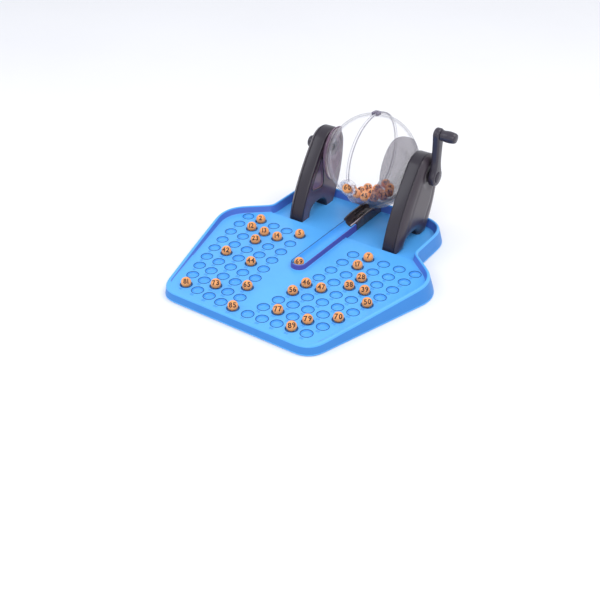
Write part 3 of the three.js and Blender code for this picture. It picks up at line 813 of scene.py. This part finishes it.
# ---------- uprights ----------
def upright_outline(inset, arch=ARCH_Z):
    """Side view (y, z): leaning front edge, round head, two feet with an arch between them."""
    ankle = DECK_Z + 1
    middle = (FEET[0][1] + FEET[1][0]) / 2
    back = AXLE.y + HEAD_R - inset
    top = arch + inset
    points = [(FEET[0][0] + inset, FOOT_Z), (FEET[0][1] - inset, FOOT_Z)]
    points += curve((FEET[0][1] - inset, FOOT_Z + 1), (FEET[0][1] - inset, top), (middle, top), 10)
    points += curve((middle, top), (FEET[1][0] + inset, top), (FEET[1][0] + inset, FOOT_Z + 1), 10)[1:]
    points += [(FEET[1][0] + inset, FOOT_Z), (FEET[1][1] - inset, FOOT_Z)]
    points += curve((FEET[1][1] - inset, ankle), (back, 47), (back, AXLE.z), 12)
    points += arc((AXLE.y, AXLE.z), HEAD_R - inset, 0, 150, 20)[1:]
    points += curve(points[-1], (FEET[0][0] + 8 + inset, 49), (FEET[0][0] + inset, ankle), 14)[1:]
    return points


def mirrored(point, side):
    return (side * point[0], point[1], point[2])


def upright_ring(x, inset, side, arch=ARCH_Z):
    return [mirrored((x, y, z), side) for y, z in upright_outline(inset, arch)]


def distance_to(path, y, z, closed=True):
    """Distance from (y, z) to the nearest point of a path."""
    best = 1e9
    ends = path[1:] + path[:1] if closed else path[1:]
    for (y0, z0), (y1, z1) in zip(path, ends):
        dy, dz = y1 - y0, z1 - z0
        share = ((y - y0) * dy + (z - z0) * dz) / max(dy * dy + dz * dz, 1e-9)
        share = max(0, min(1, share))
        best = min(best, math.hypot(y - y0 - dy * share, z - z0 - dz * share))
    return best


def axle_bore(steps=32):
    """The round hole for the axle stub, as (y, z)."""
    return [(AXLE.y + BORE_R * math.cos(a), AXLE.z + BORE_R * math.sin(a))
            for a in (2 * math.pi * k / steps for k in range(steps))]


def add_bore(mesh, low, high, side):
    """Lines the axle hole between two side faces."""
    rings = [[mirrored((x, y, z), side) for y, z in axle_bore()] for x in (low, high)]
    add_strip(mesh, rings, material=1)


def add_side_face(mesh, outline, height, side, pitch=3.0, material=0, loops=()):
    """Fills a side view round the axle hole; height gives x from the distance to the edge.

    The loops are kept as edges.
    """
    bore = axle_bore()
    dots = []
    low_y, high_y = min(p[0] for p in outline), max(p[0] for p in outline)
    low_z, high_z = min(p[1] for p in outline), max(p[1] for p in outline)
    for i in range(int((high_y - low_y) / pitch) + 1):
        for j in range(int((high_z - low_z) / pitch) + 1):
            y, z = low_y + i * pitch, low_z + j * pitch
            clear = min(distance_to(outline, y, z), distance_to(bore, y, z))
            if inside(outline, y, z) and clear > pitch * 0.6:
                dots.append(([(y, z)], False))
    add_flat(mesh, [(outline, True), (bore, True)] + [(loop, True) for loop in loops] + dots,
             lambda y, z: inside(outline, y, z) and not inside(bore, y, z),
             lambda y, z: mirrored((height(distance_to(outline, y, z), y, z), y, z), side), material)


def rounded(corners, steps=8):
    """A closed loop with rounded corners, from (y, z, length cut off each side)."""
    loop = []
    for i, (y, z, cut) in enumerate(corners):
        here = Vector((y, z))
        before = Vector(corners[i - 1][:2])
        after = Vector(corners[(i + 1) % len(corners)][:2])
        start = here + (before - here).normalized() * cut
        end = here + (after - here).normalized() * cut
        loop += curve(start, here, end, steps)
    return loop


def panel_path():
    """Rounded triangle on the inner face of an upright."""
    return rounded([(109, 87, 9), (83, 45, 9), (114, 39, 13)])


def shrunk(path, share):
    """A loop drawn in towards its own middle."""
    middle = sum((Vector(p) for p in path), Vector((0, 0))) / len(path)
    return [tuple(middle.lerp(Vector(p), share)) for p in path]


def add_bead(mesh, path, x, side, radius=0.9, material=0):
    """A half-sunk bead that follows a closed (y, z) path on a face at x."""
    rings = []
    count = len(path)
    for i in range(count):
        a, b = Vector(path[i - 1]), Vector(path[(i + 1) % count])
        along = (b - a).normalized()
        across = Vector((-along.y, along.x))
        ring = []
        for k in range(8):
            t = 2 * math.pi * k / 8
            spot = Vector(path[i]) + across * radius * math.cos(t)
            ring.append(mirrored((x + 0.75 * radius * math.sin(t), spot.x, spot.y), side))
        rings.append(ring)
    add_strip(mesh, rings + [rings[0]], material=material)


def cup_edge(turn, reach):
    """Widest angle from the axle that a cup reaches, at a turn round the axle (0 is straight back)."""
    up, back = math.sin(turn), math.cos(turn)
    limits = [math.acos(reach["tip"] / CUP_IN)]
    if up >= 0:
        limits.append(math.acos(reach["edge"] / CUP_IN))
        limits.append(math.asin(min(1, reach["up"] / CUP_IN / max(up, 1e-3))))
    else:
        lean = math.tan(reach["lean"]) * up
        limits.append(math.acos(min(1, reach["edge"] / CUP_IN / math.hypot(1, lean))) - math.atan(lean))
        limits.append(math.asin(min(1, reach["down"] / CUP_IN / -up)))
    for name, rise in (("brow", up), ("heel", -up)):
        towards = rise * math.cos(BROW_TURN) + back * math.sin(BROW_TURN)
        if towards > 0:
            limits.append(math.asin(min(1, reach[name] / CUP_IN / max(towards, 1e-3))))
    if back > 0:
        limits.append(math.asin(min(1, reach["back"] / CUP_IN / max(back, 1e-3))))
    # A soft minimum rounds the corners where two limits meet.
    corner = reach["corner"]
    return sum(limit ** -corner for limit in limits) ** (-1 / corner)


def add_cup(mesh, side, material=0):
    """A curved wing that follows the globe, from the upright's inner wall down to the chute."""
    turns, cuts = 96, 14
    start_in = math.acos(SUPPORT_X / CUP_IN)
    start_out = math.acos(SUPPORT_X / CUP_OUT)
    rings = []
    for i in range(turns):
        turn = 2 * math.pi * i / turns
        edge = max(cup_edge(turn, WING if side > 0 else SHORT_CUP), start_in + 0.05)

        def put(radius, angle):
            ring_r = radius * math.sin(angle)
            return mirrored((radius * math.cos(angle), AXLE.y + ring_r * math.cos(turn),
                             AXLE.z + ring_r * math.sin(turn)), side)
        inner = [put(CUP_IN, start_in + (edge - start_in) * k / cuts) for k in range(cuts + 1)]
        middle = (CUP_IN + CUP_OUT) / 2
        tip = [put(CUP_IN + 0.5, edge + 0.011), put(middle, edge + 0.017), put(CUP_OUT - 0.5, edge + 0.011)]
        outer = [put(CUP_OUT, edge + (start_out - edge) * k / cuts) for k in range(cuts + 1)]
        rings.append(inner + tip + outer)
    add_strip(mesh, rings + [rings[0]], closed=True, material=material)


def make_upright(side):
    """A hollow upright, open outwards: flanks, inner face with its panel, axle boss and cup."""
    word = "right" if side > 0 else "left"
    mesh = bmesh.new()
    rings = [upright_ring(x, inset, side) for x, inset in (
        (SUPPORT_X, 2.2), (SUPPORT_X + 0.2, 1.2), (SUPPORT_X + 0.9, 0.4), (SUPPORT_X + 2, 0),
        (SUPPORT_END_X - 0.6, 0), (SUPPORT_END_X, 0.5), (SUPPORT_END_X, 2.4), (SUPPORT_END_X - 0.6, 3),
        (SUPPORT_X + 3.1, 3), (SUPPORT_X + 2.5, 3.6))]
    add_strip(mesh, rings, material=1)
    panel = panel_path()
    recess = shrunk(panel, 0.93)

    def inner_face(distance, y, z):
        return SUPPORT_X + (1.4 if inside(recess, y, z) or (y, z) in recess else 0)
    add_side_face(mesh, upright_outline(2.2), inner_face, side, material=2,
                  loops=[panel, shrunk(panel, 0.94), recess])
    for face in mesh.faces:
        centre = face.calc_center_median()
        if face.material_index == 2 and not inside(panel, centre.y, centre.z):
            face.material_index = 4
    hollow_x = SUPPORT_X + 2.5
    add_side_face(mesh, upright_outline(3.6), lambda d, y, z: hollow_x, side)
    add_bore(mesh, SUPPORT_X, hollow_x, side)
    add_bead(mesh, panel, SUPPORT_X, side, material=1)
    place = Matrix.Translation((0, AXLE.y, AXLE.z)) @ Matrix.Diagonal((side, 1, 1, 1)) @ FACING_X
    boss = [(5.9, SUPPORT_X - 0.2), (10.6, SUPPORT_X - 0.2), (11.2, SUPPORT_X + 0.4), (10, SUPPORT_X + 3),
            (10, SUPPORT_END_X - 0.5), (9.5, SUPPORT_END_X), (5.8, SUPPORT_END_X),
            (5.4, SUPPORT_END_X - 0.5), (5.4, SUPPORT_X + 0.4), (5.9, SUPPORT_X - 0.2)]
    add_lathe(mesh, boss, place, 48, material=1)
    add_cup(mesh, side, material=3)
    shades = [SMOKE, SMOKE_EDGE, SMOKE_PANEL, SMOKE_CUP if side > 0 else SMOKE_CRESCENT, SMOKE_FACE]
    finish_piece(f"upright_{word}", mesh, shades, "base", [f"support_{word}"],
                 sharp=32)


def make_covers():
    """Domed outer covers with two shallow grooves that run down from the axle."""
    reach = 15
    grooves = [[(112, 84), (96, 58), (84, 30)], [(146, 76), (140, 52), (126, 28)]]

    def bulge(distance, y, z):
        share = min(1, distance / reach)
        near_axle = math.hypot(y - AXLE.y, z - AXLE.z)
        dish = 1.6 * min(1, max(0, (18 - near_axle) / 8))
        cut = min(distance_to(path, y, z, closed=False) for path in grooves)
        dish += 0.8 * math.exp(-((cut / 1.6) ** 2)) * share
        return COVER_X + 0.9 + COVER_BULGE * math.sqrt(1 - (1 - share) ** 2) - dish
    mesh = bmesh.new()
    add_strip(mesh, [upright_ring(x, inset, 1, COVER_ARCH_Z) for x, inset in (
        (COVER_X, 2.5), (COVER_X, 0.4), (COVER_X + 0.3, 0.1), (COVER_X + 0.9, 0.1))], material=1)
    add_side_face(mesh, upright_outline(0.1, COVER_ARCH_Z), bulge, 1, pitch=1.7)
    add_side_face(mesh, upright_outline(2.5, COVER_ARCH_Z), lambda d, y, z: COVER_X, 1)
    add_bore(mesh, COVER_X, bulge(reach, AXLE.y, AXLE.z), 1)
    for word, side in (("right", 1), ("left", -1)):
        half = mesh.copy()
        half.transform(Matrix.Diagonal((side, 1, 1, 1)))
        finish_piece(f"upright_cover_{word}", half, [SMOKE, SMOKE_EDGE], "base",
                     [f"support_cover_{word}"], sharp=50)
    mesh.free()


# ---------- chute ----------
CHUTE_FRONT_Y = 86
CHUTE_BACK_Y = 145
CHUTE_HALF = 10
CHUTE_IN = 7.6
CHUTE_TOP_Z = 23
CHUTE_END_Z = 18
CHUTE_FLOOR_Z = 12.4
CHUTE_RISE = 1.1


def make_chute():
    """A trough under the globe that slopes down to the channel, with a rib along its floor."""
    low = DECK_Z + 0.3

    def section(y):
        share = (y - CHUTE_FRONT_Y) / (CHUTE_BACK_Y - CHUTE_FRONT_Y)
        top = CHUTE_TOP_Z
        if y < CHUTE_FRONT_Y + 14:
            top -= 2 * (1 - (y - CHUTE_FRONT_Y) / 14)
        if y > CHUTE_BACK_Y - 12:
            top -= (CHUTE_TOP_Z - CHUTE_END_Z) * (1 - (CHUTE_BACK_Y - y) / 12)
        floor = CHUTE_FLOOR_Z + CHUTE_RISE * share
        half = [(0, floor), (CHUTE_IN - 3, floor)]
        half += curve((CHUTE_IN - 3, floor), (CHUTE_IN, floor), (CHUTE_IN, floor + 3), 4)[1:]
        half += [(CHUTE_IN, top - 0.7), (CHUTE_IN + 0.3, top - 0.15), (CHUTE_IN + 0.9, top),
                 (CHUTE_HALF - 0.8, top), (CHUTE_HALF - 0.2, top - 0.25), (CHUTE_HALF, top - 0.9),
                 (CHUTE_HALF, low + 0.6), (CHUTE_HALF - 0.6, low)]
        other = [(-x, z) for x, z in reversed(half) if x > 0]
        return [(x, y, z) for x, z in half + other]
    stops = [CHUTE_FRONT_Y + (CHUTE_BACK_Y - CHUTE_FRONT_Y) * k / 12 for k in range(13)]
    stops.insert(1, CHUTE_FRONT_Y + 0.5)
    mesh = bmesh.new()
    rows = add_strip(mesh, [section(y) for y in stops])
    mesh.faces.new(rows[0])
    mesh.faces.new(rows[-1])
    add_box(mesh, (-CHUTE_HALF + 0.5, CHUTE_BACK_Y - 2.4, low + 0.4),
            (CHUTE_HALF - 0.5, CHUTE_BACK_Y - 0.1, CHUTE_END_Z), 0.5)
    finish_piece("chute_trough", mesh, [CHUTE_DARK], "base", ["chute"])

    rib = bmesh.new()
    add_box(rib, (-0.7, CHUTE_FRONT_Y + 1, -0.5), (0.7, CHUTE_BACK_Y - 3, 0.8), 0.25)
    slope = math.atan2(CHUTE_RISE, CHUTE_BACK_Y - CHUTE_FRONT_Y)
    start = Vector((0, CHUTE_FRONT_Y, CHUTE_FLOOR_Z))
    to_start = Matrix.Translation((0, -start.y, 0))
    rib.transform(Matrix.Translation(start) @ Matrix.Rotation(slope, 4, "X") @ to_start)
    finish_piece("chute_rib", rib, [RIB_GREY], "base")


# ---------- crank ----------
ARM_X = 83
ARM_END_X = 92
ARM_LENGTH = 55
GRIP_LENGTH = 19
GRIP_R = 7
CAP_X = 81
CAP_END_X = 95
CAP_R = 8


def arm_outline(inset):
    """Round hub, waisted arm, round tip, as (y, z) from the axle."""
    hub_r, tip_r, waist = 11.5 - inset, 8 - inset, 6.2 - inset
    points = arc((0, 0), hub_r, 145, 395, 28)
    low_right, low_left = points[-1], points[0]
    points += curve(low_right, (waist, 16), (waist, 24), 6)[1:]
    points += curve((waist, 24), (waist, 44), (tip_r, ARM_LENGTH), 6)[1:]
    points += arc((0, ARM_LENGTH), tip_r, 0, 180, 18)[1:]
    points += curve((-tip_r, ARM_LENGTH), (-waist, 44), (-waist, 24), 6)[1:]
    points += curve((-waist, 24), (-waist, 16), low_left, 6)[1:-1]
    return points


def make_crank():
    """The arm on the right axle stub, the grip on its pin, and the cap on the left stub."""
    mesh = bmesh.new()
    stations = [(0, 3.2), (0.3, 1.6), (1.1, 0.5), (2.2, 0), (6.8, 0), (7.9, 0.5), (8.7, 1.6), (9, 3.2)]
    rings = [[(ARM_X + x, AXLE.y + y, AXLE.z + z) for y, z in arm_outline(inset)] for x, inset in stations]
    rows = add_strip(mesh, rings)
    mesh.faces.new(rows[0])
    mesh.faces.new(rows[-1])
    on_axle = Matrix.Translation(AXLE) @ FACING_X
    add_lathe(mesh, [(0, ARM_END_X - 0.5), (6.8, ARM_END_X - 0.5), (6.8, ARM_END_X + 0.6),
                     (6.2, ARM_END_X + 1.1), (0, ARM_END_X + 1.5)], on_axle, 40)
    at_tip = Matrix.Translation(AXLE + Vector((0, 0, ARM_LENGTH))) @ FACING_X
    pin_end = ARM_END_X + 15
    add_lathe(mesh, [(0, ARM_END_X - 1), (2.5, ARM_END_X - 1), (2.5, pin_end - 0.4), (2.1, pin_end),
                     (0, pin_end)], at_tip, 24)
    finish_piece("crank_lever", mesh, [CRANK_DARK], "globe", ["crank_arm"], sharp=40)

    grip = bmesh.new()
    start = ARM_END_X + 0.3
    end = start + GRIP_LENGTH
    profile = [(2.8, start), (6.2, start), (6.6, start + 0.5), (6.3, start + 1.6), (6.4, start + 3)]
    profile += [(GRIP_R - 0.6 + 0.6 * math.sin(math.pi * k / 8), start + 3 + 12.5 * k / 8)
                for k in range(1, 9)]
    profile += [(6.1, end - 2.2), (5.2, end - 0.7), (3.4, end - 0.1), (0, end), (0, end - 3.5),
                (2.8, end - 3.5), (2.8, start)]
    add_lathe(grip, profile, at_tip, 48)
    finish_piece("crank_knob", grip, [CRANK_DARK], "grip", ["crank_grip"], sharp=40)

    cap = bmesh.new()
    facing_left = Matrix.Translation(AXLE) @ Matrix.Diagonal((-1, 1, 1, 1)) @ FACING_X
    add_lathe(cap, [(5.3, CAP_X), (7.6, CAP_X), (CAP_R, CAP_X + 0.5), (CAP_R, CAP_END_X - 3),
                    (7.4, CAP_END_X - 1.2), (6, CAP_END_X - 0.3), (3, CAP_END_X), (0, CAP_END_X),
                    (0, CAP_X + 1), (5.3, CAP_X + 1), (5.3, CAP_X)], facing_left, 48)
    finish_piece("axle_button", cap, [CRANK_DARK], "globe", ["axle_cap"], sharp=40)


# ---------- stage ----------
def make_stage():
    mesh = bmesh.new()
    bmesh.ops.create_grid(mesh, x_segments=1, y_segments=1, size=6)
    data = bpy.data.meshes.new("floor")
    mesh.to_mesh(data)
    mesh.free()
    floor = bpy.data.objects.new("floor", data)
    floor.location = (0, 0, -0.0005)
    bpy.context.scene.collection.objects.link(floor)
    data.materials.append(plastic("floor_pale", srgb(232, 232, 234), srgb(238, 238, 240),
                                  rough=(0.7, 0.8), blotch=3))

    world = bpy.data.worlds.new("studio")
    bpy.context.scene.world = world
    world.use_nodes = True
    world.node_tree.nodes["Background"].inputs["Color"].default_value = (0.93, 0.95, 1, 1)
    world.node_tree.nodes["Background"].inputs["Strength"].default_value = 0.95

    def lamp(name, at, target, size, power, color=(1, 1, 1)):
        light = bpy.data.lights.new(name, "AREA")
        light.shape = "DISK"
        light.size = size
        light.energy = power
        light.color = color
        item = bpy.data.objects.new(name, light)
        item.location = at
        item.rotation_euler = (Vector(target) - Vector(at)).to_track_quat("-Z", "Y").to_euler()
        bpy.context.scene.collection.objects.link(item)
    lamp("key", (0.55, 0.35, 1.4), (0, 0, 0), 1.1, 8, (1, 0.98, 0.95))
    lamp("fill", (-0.9, -0.6, 0.9), (0, 0, 0), 0.9, 3, (0.93, 0.96, 1))
    lamp("front", (0.4, -1.1, 0.9), (0, 0.09, 0.02), 0.9, 4.5)

    scene = bpy.context.scene
    scene.view_settings.view_transform = "Standard"
    scene.cycles.transparent_max_bounces = 24


def make_camera():
    data = bpy.data.cameras.new("camera")
    data.lens = CAMERA_LENS
    data.sensor_width = 36
    data.clip_start = 0.01
    data.clip_end = 20
    item = bpy.data.objects.new("camera", data)
    item.location = CAMERA_AT
    item.rotation_euler = (-TO_CAMERA).to_track_quat("-Z", "Y").to_euler()
    bpy.context.scene.collection.objects.link(item)
    bpy.context.scene.camera = item


make_camera()
make_stage()
make_tray()
make_channel()
make_tray_numbers()
make_balls()
for side in (-1, 1):
    make_half_globe(side)
    make_upright(side)
make_covers()
make_outlet_ring()
make_clasp("globe_clasp_front", "globe_clip_front", CLEAR_EDGE)
make_clasp("globe_clasp_top", "globe_clip_top", CLASP_GREY)
make_chute()
make_crank()
